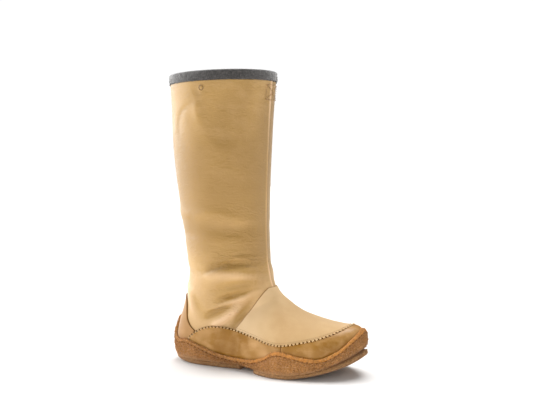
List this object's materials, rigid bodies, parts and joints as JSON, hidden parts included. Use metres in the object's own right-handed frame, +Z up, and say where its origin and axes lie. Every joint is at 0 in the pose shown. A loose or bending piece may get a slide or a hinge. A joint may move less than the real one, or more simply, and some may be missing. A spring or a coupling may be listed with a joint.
{
  "type": "boot",
  "caption": "Tall pull-on leather boot for the right foot, with felt lining at the collar, stitched wrap round the foot and wavy crepe cup sole.",
  "frame": {"origin": "on the floor under the middle of the heel, where the heel rests", "axes": "+X along the foot to the toe, +Y to the inner side of the right foot, +Z up along the shaft"},
  "size_m": [0.272, 0.1236, 0.3819],
  "materials": {
    "shaft_leather": "satin, fine grain",
    "vamp_leather": "smooth nubuck",
    "wrap_leather": "waxed pull-up",
    "counter_leather": "matte",
    "felt": "heathered wool felt",
    "insole_felt": "felt",
    "crepe": "mottled crepe",
    "tread_crepe": "matte crepe"
  },
  "bodies": {
    "root": {"upper": "shaft_leather", "vamp": "vamp_leather", "wrap_front": "wrap_leather", "wrap_outer": "wrap_leather", "wrap_inner": "wrap_leather", "heel_counter": "counter_leather", "felt_cuff": "felt", "insole": "insole_felt", "midsole": "crepe", "heel_tread": "tread_crepe", "forefoot_tread": "tread_crepe"}
  },
  "joints": []
}
